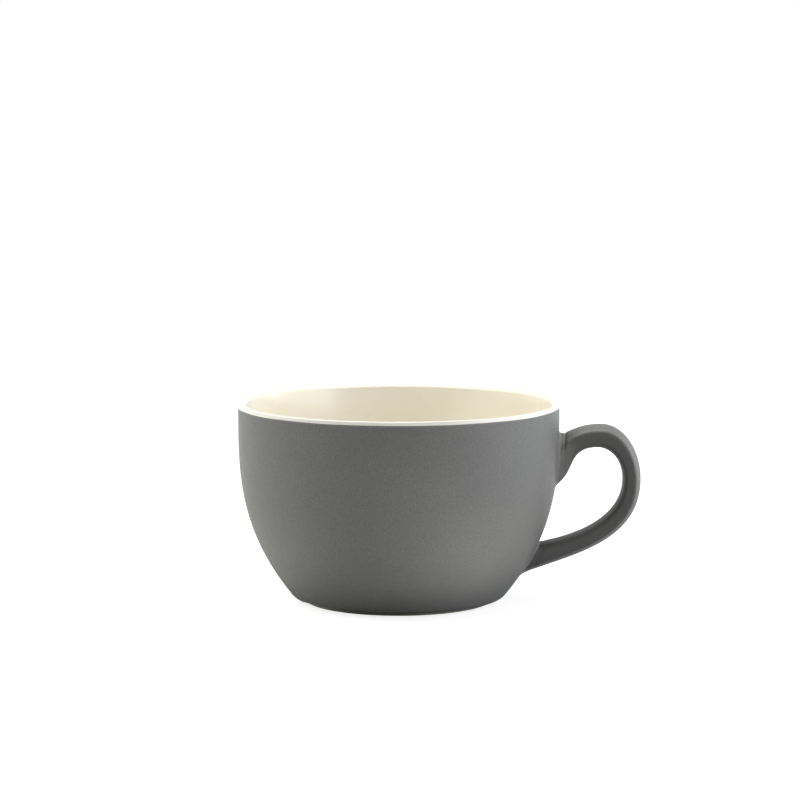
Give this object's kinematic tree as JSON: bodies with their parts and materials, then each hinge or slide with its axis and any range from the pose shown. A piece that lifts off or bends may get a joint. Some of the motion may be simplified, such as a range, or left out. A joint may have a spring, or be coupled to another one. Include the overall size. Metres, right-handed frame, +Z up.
{
  "type": "cup",
  "caption": "Wide round-bellied cup with a ring handle, matte grey outside, glossy cream inside and over the lip, standing on a bare clay foot ring.",
  "frame": {"origin": "centre of the foot ring, on the plane that the cup stands on", "axes": "+Z up through the mouth, +X towards the handle, +Y to the left of the handle seen from outside it"},
  "size_m": [0.123, 0.098, 0.061],
  "materials": {
    "fired_clay": "bare fired stoneware, fine and dry",
    "joint_slip": "fired slip under a thin break of glaze, satin",
    "cream_gloss_glaze": "smooth gloss",
    "grey_matte_glaze": "matte with a soft sheen"
  },
  "bodies": {
    "root": {"bowl": "fired_clay", "handle": "fired_clay", "upper_slip_joint": "joint_slip", "lower_slip_joint": "joint_slip", "liner_glaze": "cream_gloss_glaze", "outer_glaze": "grey_matte_glaze", "handle_glaze": "grey_matte_glaze", "underside_glaze": "grey_matte_glaze"}
  },
  "joints": []
}
